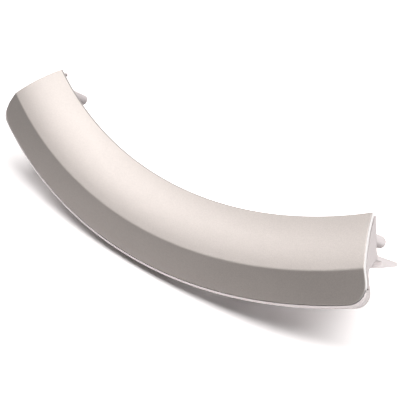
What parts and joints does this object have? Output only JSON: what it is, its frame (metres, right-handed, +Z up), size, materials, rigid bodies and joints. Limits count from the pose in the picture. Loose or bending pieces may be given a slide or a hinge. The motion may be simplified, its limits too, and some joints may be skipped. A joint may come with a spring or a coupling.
{
  "type": "dryer door handle",
  "caption": "Arc-shaped grip for a round tumble dryer door: a crowned silver front with a lip to pull, on a moulded carrier with locating pegs and snap hooks.",
  "frame": {"origin": "middle of the handle's box at table level, as the handle lies on the middle of its lip and on the tips of its two middle hooks", "axes": "+Z up from the table, +X along the chord of the arc, -Y towards the lip; the door's face lies along the seat, 48.8 degrees from the table"},
  "size_m": [0.217, 0.0634, 0.0469],
  "materials": {
    "silver_paint": "satin warm-silver paint with a fine flake",
    "grey_moulding": "light grey moulded plastic, fine satin"
  },
  "bodies": {
    "root": {"front_cover": "silver_paint", "rear_carrier": "grey_moulding"}
  },
  "joints": []
}
